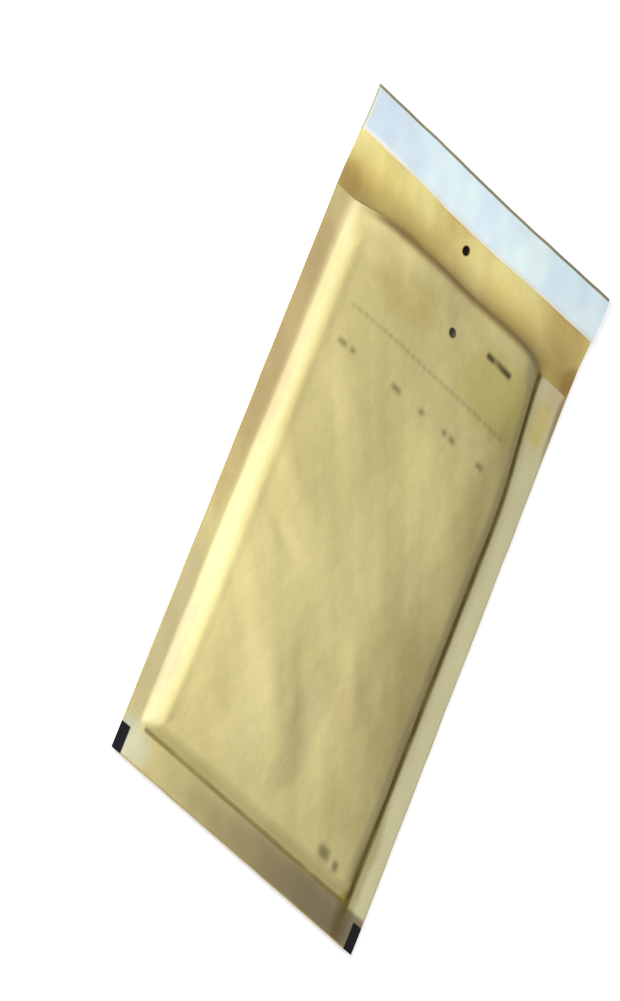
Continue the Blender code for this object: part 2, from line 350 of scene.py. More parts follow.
# %% Soft swells from cosine waves
# Each set of waves: seed, shortest length, longest length, and how many are summed.
SWELL_WAVES = (11, 30 * MM, 75 * MM, 20)
CRUMPLE_WAVES = (12, 6 * MM, 13 * MM, 28)
SEAL_WAVES = (13, 9 * MM, 22 * MM, 14)
FLAP_SWELL_WAVES = (21, 45 * MM, 110 * MM, 10)
FLAP_CRUMPLE_WAVES = (22, 8 * MM, 18 * MM, 16)
BACK_WAVES = (23, 20 * MM, 50 * MM, 20)
CURL_WAVES = (31, 18 * MM, 60 * MM, 8)
LINER_WAVES = (32, 14 * MM, 40 * MM, 14)


def waves(x, y, seed, shortest, longest, count):
    """Sum of cosine waves with seeded headings, lengths and phases, over the root of half their count."""
    draw = np.random.default_rng(seed)
    total = np.zeros_like(x)
    for _ in range(count):
        length = draw.uniform(shortest, longest)
        angle = draw.uniform(-math.pi, math.pi)
        phase = draw.uniform(0, 2 * math.pi)
        total += np.cos(2 * math.pi * (x * math.cos(angle) + y * math.sin(angle)) / length + phase)
    return total / math.sqrt(count / 2)


# %% Creases pressed into the front panel
# Each row: middle x and y, heading in degrees, length, half width and height, in millimetres.
PANEL_CREASES = [
    (-42, -29, -29, 46, 3.8, -0.85),
    (-47, -8, -42, 38, 5.0, 0.55),
    (3, -80, -54, 70, 5.5, -1.10),
    (-13, -86, -50, 62, 6.5, 0.90),
    (17, -58, -59, 40, 3.6, 0.70),
    (33, -62, -48, 40, 4.5, -0.60),
    (36, -88, -22, 32, 3.5, 0.45),
    (-46, -64, -42, 42, 4.5, -0.50),
    (-16, 80, 4, 34, 3.5, 0.50),
    (17, 81, -6, 26, 3.5, 0.40),
    (-32, 10, -62, 60, 7.0, -0.50),
    (26, 8, -60, 66, 7.0, -0.45),
    (-36, -102, -35, 40, 4.5, 0.50),
    (6, -12, -62, 56, 6.5, 0.50),
    (45, 34, -78, 36, 4.0, -0.40),
    (10, 38, -66, 44, 6.0, 0.40),
]


def creases(x, y, rows):
    """Sum of ridges: height times a bell across the line times an S-curve over its outer halves."""
    total = np.zeros_like(x)
    for row in rows:
        middle_x, middle_y, degrees, length, half_width, height = row
        angle = math.radians(degrees)
        offset_x = x / MM - middle_x
        offset_y = y / MM - middle_y
        along = offset_x * math.cos(angle) + offset_y * math.sin(angle)
        across = offset_y * math.cos(angle) - offset_x * math.sin(angle)
        bell = np.exp(-((across / half_width) ** 2))
        total += height * MM * bell * smooth(2 - 4 * np.abs(along) / length)
    return total


# %% Where the bubbles sit
BUBBLE_PITCH = 10.5 * MM
BUBBLE_RADIUS = 4.7 * MM


def bubble_share(x, y):
    """Bubble height, 0 to 1: root of one minus r^4 about the nearest point of a triangular lattice."""
    row_step = BUBBLE_PITCH * math.sqrt(3)
    distances = []
    for shift in (0.0, 0.5):
        across = x - BUBBLE_PITCH * (np.round(x / BUBBLE_PITCH - shift) + shift)
        along = y - row_step * (np.round(y / row_step - shift) + shift)
        distances.append(np.hypot(across, along))
    share = np.clip(np.minimum(*distances) / BUBBLE_RADIUS, 0, 1)
    return np.sqrt(1 - share ** 4)


# %% Relief of the front panel
SWELL = 0.24 * MM
CRUMPLE = 0.015 * MM
BUBBLE_PRINT = 0.04 * MM
WELT = 0.8 * MM
WELT_AT = 3.6 * MM
WELT_WIDTH = 3.0 * MM
SEAL_RIPPLE = 0.05 * MM
HOLE_RING = 0.12 * MM
RING_AT = 1.6
RING_WIDTH = 0.5
RELIEF_FADE = 12 * MM
SEAL_FADE = 4 * MM
PANEL_HOLE_Y = MOUTH_Y - HOLE_TO_MOUTH
FLAP_HOLE_Y = MOUTH_Y + HOLE_TO_MOUTH


def pouch_share(x, y, fade):
    """1 over the pouch, easing to 0 over the fade's length at the seals."""
    return smooth((POUCH_HALF - np.abs(x)) / fade) * smooth((y - POUCH_START_Y) / fade)


def welt(x, y):
    """Padded welt inside the left and bottom seals: a bell about its own depth, gone at the mouth."""
    depth = np.minimum(POUCH_HALF + x, y - POUCH_START_Y)
    return WELT * np.exp(-(((depth - WELT_AT) / WELT_WIDTH) ** 2)) * smooth((MOUTH_Y - y) / MOUTH_EASE)


def hole_ring(x, y, hole_y):
    """Low raised ring round a punched hole: a bell about a distance of RING_AT hole radii."""
    distance = np.hypot(x, y - hole_y) / HOLE_RADIUS
    return HOLE_RING * np.exp(-(((distance - RING_AT) / RING_WIDTH) ** 2))


def seal_ripple(x, y):
    """Small waves in the seals, which both sheets share because they are stuck together there."""
    return SEAL_RIPPLE * waves(x, y, *SEAL_WAVES) * (1 - pouch_share(x, y, SEAL_FADE))


def front_face(x, y):
    """Front panel's outer face: the form plus swells, crumples, creases, welt, seal ripples and ring."""
    inside = pouch_share(x, y, RELIEF_FADE)
    relief = SWELL * waves(x, y, *SWELL_WAVES)
    relief += CRUMPLE * waves(x, y, *CRUMPLE_WAVES)
    relief += CREASE_SHARE * creases(x, y, PANEL_CREASES)
    relief += BUBBLE_PRINT * (2 * bubble_share(x, y) - 1)
    padding = pouch_share(x, y, SEAL_FADE) * welt(x, y)
    ring = hole_ring(x, y, PANEL_HOLE_Y)
    return front_form(x, y) + inside * relief + padding + seal_ripple(x, y) + ring


# %% Relief of the back panel and the flap
FLAP_SWELL = 0.25 * MM
FLAP_CRUMPLE = 0.05 * MM
BACK_SWELL = 0.10 * MM
LOWEST = 0.05 * MM


def back_face(x, y):
    """Under face of the back sheet: the form plus swells, kept just above the surface it lies on."""
    flap_share = smooth((y - MOUTH_Y) / FLAP_SETTLE)
    flap = FLAP_SWELL * waves(x, y, *FLAP_SWELL_WAVES)
    flap += FLAP_CRUMPLE * waves(x, y, *FLAP_CRUMPLE_WAVES)
    panel = BACK_SWELL * (1 + waves(x, y, *BACK_WAVES) / 3)
    lift = flap_share * flap + (1 - flap_share) * (panel + seal_ripple(x, y))
    return np.maximum(back_form(x, y) + lift, LOWEST)


# %% [markdown]
# ## Materials
# Every finish is made from shader nodes on Object coordinates, so each pattern has its real size on
# the bag. The small helpers below keep the trees readable: one adds a node, one adds a sum, one mixes.

# %% Shader helpers
def set_socket(tree, socket, value):
    """Link a socket if the value is an output, or else set it."""
    if isinstance(value, bpy.types.NodeSocket):
        tree.links.new(value, socket)
    else:
        socket.default_value = value


def add_node(tree, kind, values, **fields):
    """New node: the fields are its own settings, the values go to its sockets."""
    made = tree.nodes.new(kind)
    for field, setting in fields.items():
        setattr(made, field, setting)
    for socket, value in values.items():
        set_socket(tree, made.inputs[socket], value)
    return made


def maths(tree, operation, *terms):
    """One step of arithmetic on numbers or outputs."""
    values = dict(enumerate(terms))
    return add_node(tree, "ShaderNodeMath", values, operation=operation).outputs[0]


def mix(tree, share, first, second, blend="MIX"):
    """Blend two colours: share 0 gives the first, 1 the second."""
    values = {0: share, 6: colour(first), 7: colour(second)}
    made = add_node(tree, "ShaderNodeMix", values, data_type="RGBA", blend_type=blend)
    return made.outputs[2]


def colour(value):
    """A colour of three numbers gets its alpha; an output is passed on."""
    return value if isinstance(value, bpy.types.NodeSocket) else (*value, 1)


def rise(tree, value, low, high):
    """S-curve from 0 at low to 1 at high, or the other way round if high is the smaller."""
    values = {"Value": value, "From Min": low, "From Max": high}
    made = add_node(tree, "ShaderNodeMapRange", values, interpolation_type="SMOOTHSTEP")
    return made.outputs[0]


NOISE_ROUGHNESS = 0.55


def noise(tree, place, size, detail, stretch=(1, 1, 1)):
    """Noise whose lumps are about as large as the size, in metres, drawn out along an axis if asked."""
    mapped = add_node(tree, "ShaderNodeMapping", {"Vector": place, "Scale": stretch}).outputs[0]
    values = {"Vector": mapped, "Scale": 1 / size, "Detail": detail, "Roughness": NOISE_ROUGHNESS}
    return add_node(tree, "ShaderNodeTexNoise", values).outputs["Fac"]


def multiply(tree, *terms):
    """Product of several masks."""
    product = terms[0]
    for term in terms[1:]:
        product = maths(tree, "MULTIPLY", product, term)
    return product


# %% Masks for print: a block with soft edges
def block(tree, place, middle, size, soft):
    """1 inside a rectangle on the bag, 0 outside, with edges as soft as asked. All in millimetres."""
    x, y, _ = place
    product = None
    for value, at, length in zip((x, y), middle, size):
        offset = maths(tree, "ABSOLUTE", maths(tree, "SUBTRACT", value, at * MM))
        edge = rise(tree, offset, (length / 2 + soft) * MM, (length / 2 - soft) * MM)
        product = edge if product is None else multiply(tree, product, edge)
    return product


def strongest(tree, masks):
    """Largest of several masks."""
    top = masks[0]
    for mask in masks[1:]:
        top = maths(tree, "MAXIMUM", top, mask)
    return top


# %% Start and finish of a material
def start_material(name):
    """Empty material, its Object coordinates and their three parts."""
    material = bpy.data.materials.new(name)
    material.use_nodes = True
    tree = material.node_tree
    tree.nodes.clear()
    place = tree.nodes.new("ShaderNodeTexCoord").outputs["Object"]
    parts = add_node(tree, "ShaderNodeSeparateXYZ", {0: place}).outputs
    return material, tree, place, list(parts)


def finish_material(tree, values, bump=None, strength=0.0, depth=0.0):
    """Principled shader, with a bump from a height if one is given, linked to the output."""
    shader = add_node(tree, "ShaderNodeBsdfPrincipled", values)
    if bump is not None:
        sockets = {"Strength": strength, "Distance": depth, "Height": bump}
        tree.links.new(add_node(tree, "ShaderNodeBump", sockets).outputs[0], shader.inputs["Normal"])
    output = tree.nodes.new("ShaderNodeOutputMaterial")
    tree.links.new(shader.outputs[0], output.inputs["Surface"])


# %% [markdown]
# ### Kraft paper
# The paper is a dull golden brown with cloudy patches, short fibres and a slight calendered sheen. The
# outside and the flap share one recipe: only the tones, the stains, the painted light and shade, and the
# print differ. The real print is lettering, so its place holds plain dashes and blocks.

# %% Tones of the paper, linear colours
KRAFT = (0.605, 0.525, 0.238)
KRAFT_DEEP = (0.505, 0.433, 0.186)
FLAP_GOLD = (0.875, 0.775, 0.320)
FLAP_LOW = (0.640, 0.500, 0.180)
# Painted shade on the flap next to the mouth.
FLAP_MOUTH_SHADE = (0.300, 0.200, 0.055)
# Painted shadow under the front panel's mouth edge.
MOUTH_EDGE_SHADE = (0.180, 0.110, 0.035)
# Painted highlight along the left shoulder.
SHOULDER_HIGHLIGHT = (0.760, 0.700, 0.400)
# Right seal: partly its own paler tone, partly painted light against the pouch's shadow.
MARGIN_PALE = (0.640, 0.610, 0.370)
# Painted shade of the pouch on the bottom seal.
BOTTOM_SEAL_SHADE = (0.190, 0.150, 0.090)
PRINT_OLIVE = (0.080, 0.068, 0.028)
LINER_EDGE = (0.500, 0.540, 0.560)
RIM_SHADE = (0.30, 0.25, 0.20)
# Painted shade along the flap's cut end.
CUT_END_SHADE = (0.20, 0.19, 0.17)
MARK_BLACK = (0.004, 0.004, 0.007)
PAPER_GLOSS = 0.18
PAPER_ROUGHNESS = 0.55
MARK_ROUGHNESS = 0.85


# %% Clouds, fibres and fine bump, the same on every paper piece
STREAK_HEADING = math.radians(-59)
CLOUD = 24 * MM
CLOUD_STRETCH = (0.4, 1, 1)
CLOUD_RANGE = (0.30, 0.72)
FIBRE = 0.9 * MM
FIBRE_STRETCH = (1, 0.22, 1)
FIBRE_SHADE = 0.16
FIBRE_BASE = 0.92
GRAIN = 0.8 * MM
GRAIN_STRETCH = (1, 0.3, 1)
GRAIN_LUMP = 5 * MM
GRAIN_STRENGTH = 0.35
GRAIN_DEPTH = 0.25 * MM


def tint(tree, tone, share, factor):
    """Multiply a tone by a factor, an output or a colour, where the share is 1."""
    if isinstance(factor, bpy.types.NodeSocket):
        factor = add_node(tree, "ShaderNodeCombineColor", {0: factor, 1: factor, 2: factor}).outputs[0]
    return mix(tree, share, tone, factor, "MULTIPLY")


def paper_body(tree, place, light, deep):
    """Soft blend of two tones, drawn out along the handling streaks, with fine fibres over it."""
    turn = {"Vector": place, "Rotation": (0, 0, -STREAK_HEADING)}
    turned = add_node(tree, "ShaderNodeMapping", turn).outputs[0]
    clouds = noise(tree, turned, CLOUD, 2.5, CLOUD_STRETCH)
    tone = mix(tree, rise(tree, clouds, *CLOUD_RANGE), deep, light)
    fibres = noise(tree, place, FIBRE, 4.0, FIBRE_STRETCH)
    return tint(tree, tone, 1.0, maths(tree, "MULTIPLY_ADD", fibres, FIBRE_SHADE, FIBRE_BASE))


def paper_bump(tree, place):
    """Height of the paper's grain: long fibres plus half as much of larger lumps."""
    fibres = noise(tree, place, GRAIN, 5.0, GRAIN_STRETCH)
    lumps = noise(tree, place, GRAIN_LUMP, 3.0)
    return maths(tree, "ADD", fibres, maths(tree, "MULTIPLY", lumps, 0.5))


# %% Stains, and patches of painted light and shade
PATCH_UNEVEN = 14 * MM
PATCH_WOBBLE = 1.2
PATCH_OUT = 1.25
PATCH_FULL = 0.15


def stain_and_light_patch(tree, tone, parts, wobble, row):
    """Multiply the tone by a tint in a soft patch: 1 in its middle, 0 past its reach, its edge uneven."""
    middle_x, middle_y, reach_x, reach_y, factor = row
    across = maths(tree, "DIVIDE", maths(tree, "SUBTRACT", parts[0], middle_x * MM), reach_x * MM)
    along = maths(tree, "DIVIDE", maths(tree, "SUBTRACT", parts[1], middle_y * MM), reach_y * MM)
    squares = maths(tree, "ADD", multiply(tree, across, across), multiply(tree, along, along))
    patch = rise(tree, maths(tree, "ADD", squares, wobble), PATCH_OUT, PATCH_FULL)
    return tint(tree, tone, patch, factor)


def stains_and_light_patches(tree, tone, parts, place, rows):
    """Lay each patch of a list over the tone, stains and painted light and shade alike, with edges that one
    noise makes uneven.
    """
    uneven = noise(tree, place, PATCH_UNEVEN, 3.0)
    wobble = maths(tree, "MULTIPLY_ADD", uneven, PATCH_WOBBLE, -PATCH_WOBBLE / 2)
    for row in rows:
        tone = stain_and_light_patch(tree, tone, parts, wobble, row)
    return tone


# %% Black corner marks on the bottom of both sides
MARK_WIDTH = 4.6
MARK_LENGTH = 10.5
MARK_SOFT = 0.25


def corner_marks(tree, parts):
    """Two black blocks on the outer edge of the side seals, at the bottom."""
    half_width = HALF_WIDTH / MM
    bottom = BOTTOM_Y / MM
    size = (2 * MARK_WIDTH, 2 * MARK_LENGTH)
    corners = [(-half_width, bottom), (half_width, bottom)]
    return strongest(tree, [block(tree, parts, corner, size, MARK_SOFT) for corner in corners])


# %% Rim of a punched hole
RIM_OUT = 1.25 * HOLE_RADIUS
RIM_FULL = 1.02 * HOLE_RADIUS


def punched_rim(tree, parts, hole_y):
    """1 on the wall of a hole and on a thin rim round it, where shade is painted into the paper."""
    along = maths(tree, "SUBTRACT", parts[1], hole_y)
    squares = maths(tree, "ADD", multiply(tree, parts[0], parts[0]), multiply(tree, along, along))
    return rise(tree, maths(tree, "SQRT", squares), RIM_OUT, RIM_FULL)


# %% Last layers of a paper finish
def finish_paper(tree, place, parts, tone, hole_y):
    """Paint shade on the hole's wall and rim, lay the corner marks over the tone, and add gloss and grain.
    """
    # Painted shade in and round the punched hole.
    tone = tint(tree, tone, punched_rim(tree, parts, hole_y), RIM_SHADE)
    marks = corner_marks(tree, parts)
    tone = mix(tree, marks, tone, MARK_BLACK)
    rougher = MARK_ROUGHNESS - PAPER_ROUGHNESS
    roughness = maths(tree, "MULTIPLY_ADD", marks, rougher, PAPER_ROUGHNESS)
    values = {"Base Color": tone, "Roughness": roughness, "Specular IOR Level": PAPER_GLOSS}
    finish_material(tree, values, paper_bump(tree, place), GRAIN_STRENGTH, GRAIN_DEPTH)


# %% Generic print on the front panel
# All in millimetres. Each dash: its middle x and its length.
DASHES = [(-45.8, 4.2), (-40.5, 2.6), (-15.5, 5.2), (0, 3.2), (13.4, 3.0), (18.5, 3.6), (35.8, 4.4)]
DASH_ROW_Y = 43.3
DASH_HEIGHT = 2.0
DASH_SOFT = 1.5
FINE_ROW_Y = 57.8
FINE_FROM = -48
FINE_TO = 42
FINE_HEIGHT = 1.3
FINE_SOFT = 1.1
FINE_PITCH = 3.4
FINE_STRENGTH = 0.5
BAR_STRENGTH = 1.5
# Each block: middle x and y, width and height, and softness of its edge.
MOUTH_BAR = ((26.5, 79.5), (15, 2.4), 1.0)
LOW_BLOCKS = [((36, -115), (6.0, 5.0), 1.8), ((43.5, -116), (3.0, 4.0), 1.4)]
DOT_BASE = 0.4
WEAR_PATCH = 7 * MM
WEAR_RANGE = (0.10, 0.50)


def fine_row(tree, parts):
    """Thin line, broken by a triangle wave along x into faint dots."""
    middle = ((FINE_FROM + FINE_TO) / 2, FINE_ROW_Y)
    line = block(tree, parts, middle, (FINE_TO - FINE_FROM, FINE_HEIGHT), FINE_SOFT)
    half_pitch = FINE_PITCH / 2 * MM
    wrapped = maths(tree, "PINGPONG", parts[0], half_pitch)
    dots = rise(tree, wrapped, 0.9 * half_pitch, 0.3 * half_pitch)
    faint = maths(tree, "MULTIPLY_ADD", dots, 1 - DOT_BASE, DOT_BASE)
    return multiply(tree, line, faint, FINE_STRENGTH)


def print_marks(tree, parts, place):
    """A row of dashes, a finer broken row, a short bar by the mouth and two blocks, all worn by noise."""
    dashes = []
    for middle_x, length in DASHES:
        dashes.append(block(tree, parts, (middle_x, DASH_ROW_Y), (length, DASH_HEIGHT), DASH_SOFT))
    bar = maths(tree, "MULTIPLY", block(tree, parts, *MOUTH_BAR), BAR_STRENGTH)
    blocks = [block(tree, parts, *row) for row in LOW_BLOCKS]
    worn = rise(tree, noise(tree, place, WEAR_PATCH, 1.0), *WEAR_RANGE)
    return multiply(tree, strongest(tree, [*dashes, fine_row(tree, parts), bar, *blocks]), worn)


# %% Painted shade along the feet of the pouch
# Painted shade in the creases at the feet of the pouch.
SEAM_SHADE = (0.100, 0.070, 0.006)
RIGHT_SEAM_X = POUCH_HALF - 0.1 * MM
RIGHT_SEAM_WIDTH = 2.4 * MM
BOTTOM_SEAM_Y = POUCH_START_Y - 0.3 * MM
BOTTOM_SEAM_WIDTH = 1.5 * MM
BOTTOM_SEAM_SHARE = 0.75
SEAM_IN_SEAL = 0.4
SEAM_UNEVEN = 14 * MM
SEAM_RANGE = (0.25, 0.55)
SEAM_FAINTEST = 0.75


def foot_line(tree, value, foot, width):
    """1 on a soft line about the foot, 0 past its width on either side, in metres."""
    offset = maths(tree, "ABSOLUTE", maths(tree, "SUBTRACT", value, foot))
    return rise(tree, offset, width, 0.25 * width)


def across_right(tree, parts):
    """The x coordinate plus the mouth's pull, so that the right foot lies at the pouch's half width."""
    pull = rise(tree, parts[1], MOUTH_Y - RIGHT_PULL_REACH, MOUTH_Y)
    return maths(tree, "MULTIPLY_ADD", pull, RIGHT_PULL, parts[0])


def seam_shade_lines(tree, parts, place):
    """Painted shade along the right foot and the bottom one, of uneven strength.

    The right one runs on down through the bottom seal, where it is fainter.
    """
    x, y, _ = parts
    above_seal = rise(tree, y, BOTTOM_Y + 6 * MM, POUCH_START_Y + 2 * MM)
    right = foot_line(tree, across_right(tree, parts), RIGHT_SEAM_X, RIGHT_SEAM_WIDTH)
    right = multiply(tree, right, maths(tree, "MULTIPLY_ADD", above_seal, 1 - SEAM_IN_SEAL, SEAM_IN_SEAL))
    across = rise(tree, maths(tree, "ABSOLUTE", x), POUCH_HALF + 0.8 * MM, POUCH_HALF - 0.4 * MM)
    bottom = foot_line(tree, y, BOTTOM_SEAM_Y, BOTTOM_SEAM_WIDTH)
    bottom = multiply(tree, bottom, across, BOTTOM_SEAM_SHARE)
    uneven = rise(tree, noise(tree, place, SEAM_UNEVEN, 2.0), *SEAM_RANGE)
    strength = maths(tree, "MULTIPLY_ADD", uneven, 1 - SEAM_FAINTEST, SEAM_FAINTEST)
    return multiply(tree, strongest(tree, [right, bottom]), strength)


# %% Stains, painted highlights and painted shade on the front panel
# Each row: middle x and y, reach along x and along y, in millimetres, and the tint.
PANEL_STAINS_AND_PAINTED_LIGHT = [
    # Partly a stain and partly painted shade below the mouth's right half.
    (34, 70, 30, 17, (0.86, 0.85, 0.66)),
    (36, -62, 26, 50, (0.87, 0.85, 0.82)),
    (45, -6, 16, 92, (0.84, 0.81, 0.78)),
    (3, -82, 9, 34, (0.84, 0.84, 0.88)),
    (-22, -92, 14, 26, (1.06, 1.06, 1.10)),
    (16, 20, 24, 26, (1.06, 1.07, 1.04)),
    (-67, 30, 9, 70, (0.85, 0.75, 0.82)),
    (-67, -90, 9, 46, (0.78, 0.78, 0.90)),
    # Painted light on the bottom left corner of the seal.
    (-64, -130, 14, 10, (1.00, 1.12, 1.60)),
    # Painted highlight below the mouth's left end.
    (-46, 86, 22, 12, (1.14, 1.12, 1.16)),
    (-27, 75, 20, 11, (0.90, 0.87, 0.76)),
    (62, 78, 6, 10, (1.00, 0.88, 0.62)),
    (66, 90, 9, 8, (1.00, 0.90, 0.88)),
    (70, 82, 3, 16, (0.55, 0.48, 0.46)),
    # Painted shade along the lower part of the right foot.
    (59.5, -112, 5.5, 34, (0.70, 0.67, 0.54)),
    (20, -131, 60, 7, (0.86, 0.84, 0.82)),
]


# %% Tones of the seals and the shoulders, with painted highlight and painted shade
# Painted highlight along the left shoulder, painted shade along the right one.
HIGHLIGHT_LINE_X = -POUCH_HALF - 0.5 * MM
HIGHLIGHT_LINE_WIDTH = 4 * MM
HIGHLIGHT_SHARE = 0.5
SHADE_LINE_X = POUCH_HALF - 1 * MM
SHADE_LINE_WIDTH = 6 * MM
SHADE_TINT = (0.88, 0.84, 0.50)
RIGHT_SEAL_SHARE = 0.8
BOTTOM_SEAL_SHARE = 0.9


def seal_tones(tree, tone, parts):
    """Painted highlight on the left shoulder, painted shade on the right one, a pale right seal that is
    partly painted light, and painted shade on the bottom seal that deepens to the right.
    """
    x, y, _ = parts
    above_seal = rise(tree, y, POUCH_START_Y - 1 * MM, POUCH_START_Y + 3 * MM)
    # Painted highlight on the left shoulder.
    painted_highlight = foot_line(tree, x, HIGHLIGHT_LINE_X, HIGHLIGHT_LINE_WIDTH)
    tone = mix(tree, multiply(tree, painted_highlight, above_seal, HIGHLIGHT_SHARE), tone, SHOULDER_HIGHLIGHT)
    from_foot = across_right(tree, parts)
    # Painted shade along the right shoulder's foot.
    tone = tint(tree, tone, foot_line(tree, from_foot, SHADE_LINE_X, SHADE_LINE_WIDTH), SHADE_TINT)
    # Pale right seal: partly its own tone, partly painted light against the pouch's shadow.
    right_seal = rise(tree, from_foot, POUCH_HALF, POUCH_HALF + 1.5 * MM)
    tone = mix(tree, maths(tree, "MULTIPLY", right_seal, RIGHT_SEAL_SHARE), tone, MARGIN_PALE)
    # Painted shade of the pouch on the bottom seal, deeper to the right.
    bottom_seal = rise(tree, y, POUCH_START_Y + 0.5 * MM, POUCH_START_Y - 2 * MM)
    shade_to_right = rise(tree, x, -1.1 * HALF_WIDTH, 0.8 * HALF_WIDTH)
    return mix(tree, multiply(tree, bottom_seal, shade_to_right, BOTTOM_SEAL_SHARE), tone, BOTTOM_SEAL_SHADE)


# %% Outside of the bag
# Shares of the painted shadow along the mouth, the painted shade along the pouch's feet, and the print.
MOUTH_EDGE_SHADE_SHARE = 0.9
SEAM_SHADE_SHARE = 0.95
PRINT_SHARE = 0.7


def mouth_edge_shade(tree, parts):
    """1 along the painted shadow under the mouth's edge, which fades out towards both of its ends."""
    x, y, _ = parts
    edge = rise(tree, y, MOUTH_Y - 4.2 * MM, MOUTH_Y - 0.6 * MM)
    from_left = rise(tree, x, -POUCH_HALF - 1 * MM, -POUCH_HALF + 14 * MM)
    to_right = rise(tree, x, POUCH_HALF + 4 * MM, POUCH_HALF - 24 * MM)
    return multiply(tree, edge, from_left, to_right)


def outside_kraft():
    """Front panel's paper: kraft, its seals and stains, painted highlight and shade, a painted shadow along
    the mouth, painted shade along the seams, print and corner marks.
    """
    material, tree, place, parts = start_material("outside_kraft")
    tone = paper_body(tree, place, KRAFT, KRAFT_DEEP)
    tone = seal_tones(tree, tone, parts)
    tone = stains_and_light_patches(tree, tone, parts, place, PANEL_STAINS_AND_PAINTED_LIGHT)
    layers = [
        # Painted shadow along the mouth, painted shade along the feet of the pouch, then print.
        (mouth_edge_shade(tree, parts), MOUTH_EDGE_SHADE_SHARE, MOUTH_EDGE_SHADE),
        (seam_shade_lines(tree, parts, place), SEAM_SHADE_SHARE, SEAM_SHADE),
        (print_marks(tree, parts, place), PRINT_SHARE, PRINT_OLIVE),
    ]
    for mask, share, dark in layers:
        tone = mix(tree, maths(tree, "MULTIPLY", mask, share), tone, dark)
    finish_paper(tree, place, parts, tone, PANEL_HOLE_Y)
    return material


# %% Inside of the flap and outside of the back
# Each row is as in the list of the front panel's patches.
FLAP_STAINS_AND_SHADE = [
    (-50, 107, 22, 9, (1.02, 0.98, 0.86)),
    (-20, 104, 14, 8, (1.00, 0.94, 0.86)),
    (-2, 101, 20, 6, (1.12, 1.12, 1.10)),
    # The next two rows are painted shade beside the mouth.
    (-26, 97, 11, 4, (0.80, 0.73, 0.64)),
    (-4, 96, 8, 3, (0.80, 0.74, 0.66)),
    (30, 106, 20, 8, (1.02, 0.96, 0.88)),
    (58, 112, 14, 9, (0.88, 0.84, 0.80)),
    (-66, 99, 8, 8, (0.88, 0.80, 0.72)),
    (69, 99, 5, 8, (0.80, 0.72, 0.62)),
]
# Painted shade on the flap by the mouth: where it starts and ends, and its share.
DEEP_FROM = 4 * MM
DEEP_TO = 19 * MM
FLAP_SHADE_SHARE = 0.7
LINER_EDGE_SHARE = 0.8
CUT_END_SHADE_SHARE = 0.8


def flap_kraft():
    """Back sheet's paper: richer gold on the flap, painted shade deepening towards the mouth, painted shade
    along its cut end.
    """
    material, tree, place, parts = start_material("flap_kraft")
    x, y, _ = parts
    tone = paper_body(tree, place, FLAP_GOLD, FLAP_LOW)
    # Painted shade on the flap, deepening towards the mouth.
    flap_shade_by_mouth = rise(tree, y, MOUTH_Y + DEEP_TO, MOUTH_Y + DEEP_FROM)
    tone = mix(tree, maths(tree, "MULTIPLY", flap_shade_by_mouth, FLAP_SHADE_SHARE), tone, FLAP_MOUTH_SHADE)
    tone = stains_and_light_patches(tree, tone, parts, place, FLAP_STAINS_AND_SHADE)
    beside = rise(tree, maths(tree, "ABSOLUTE", x), HALF_WIDTH - 0.9 * MM, HALF_WIDTH - 0.5 * MM)
    along_liner = rise(tree, y, FLAP_END_Y - 19.5 * MM, FLAP_END_Y - 18.5 * MM)
    tone = mix(tree, multiply(tree, beside, along_liner, LINER_EDGE_SHARE), tone, LINER_EDGE)
    # Painted shade along the flap's cut end.
    cut_end_shade = rise(tree, y, FLAP_END_Y - 1.3 * MM, FLAP_END_Y - 0.9 * MM)
    tone = mix(tree, maths(tree, "MULTIPLY", cut_end_shade, CUT_END_SHADE_SHARE), tone, CUT_END_SHADE)
    finish_paper(tree, place, parts, tone, FLAP_HOLE_Y)
    return material


# %% [markdown]
# ## Front panel
# The front panel is the largest surface and shows most. Its grid lines lie close together on the
# shoulders, where the paper turns sharply, and round the punched hole.

# %% Make the front panel
FINE = 0.45 * MM
MEDIUM = 1.05 * MM
COARSE = 1.25 * MM
FRONT_INSET = 0.4 * MM


def front_panel():
    """Front sheet: the outer face, and the same face pushed in by the paper's thickness."""
    half = stations(0, (HOLE_RADIUS, HOLE_STEP), (POUCH_HALF - 8 * MM, MEDIUM),
                    (POUCH_HALF + 4 * MM, FINE), (HALF_WIDTH - FRONT_INSET, COARSE))
    lines = stations(BOTTOM_Y + FRONT_INSET, (POUCH_START_Y - 1 * MM, COARSE),
                     (POUCH_START_Y + 5 * MM, FINE), (PANEL_HOLE_Y - HOLE_RADIUS, MEDIUM),
                     (PANEL_HOLE_Y + HOLE_RADIUS, HOLE_STEP), (MOUTH_Y - 1 * MM, MEDIUM), (MOUTH_Y, FINE))
    x, y = np.meshgrid(mirrored(half), lines)
    kept = open_cells(x, y, PANEL_HOLE_Y)
    x, y = round_off(x, y, PANEL_HOLE_Y)
    outer = np.stack([x, y, front_face(x, y)], axis=2)
    inner = outer - PAPER * grid_normals(outer)
    mesh = sheet_mesh("front_panel", outer, inner, kept)
    make_piece("front_panel", mesh, "kraft_envelope", outside_kraft())


front_panel()

# %% [markdown]
# ## Back panel and flap
# One sheet makes the back panel and the flap that runs on from it. It lies on the surface, so its swells
# only lift it, and its end and right corner curl up a little.

# %% Make the back panel and the flap
BACK_FINE = 0.6 * MM
BACK_COARSE = 1.5 * MM


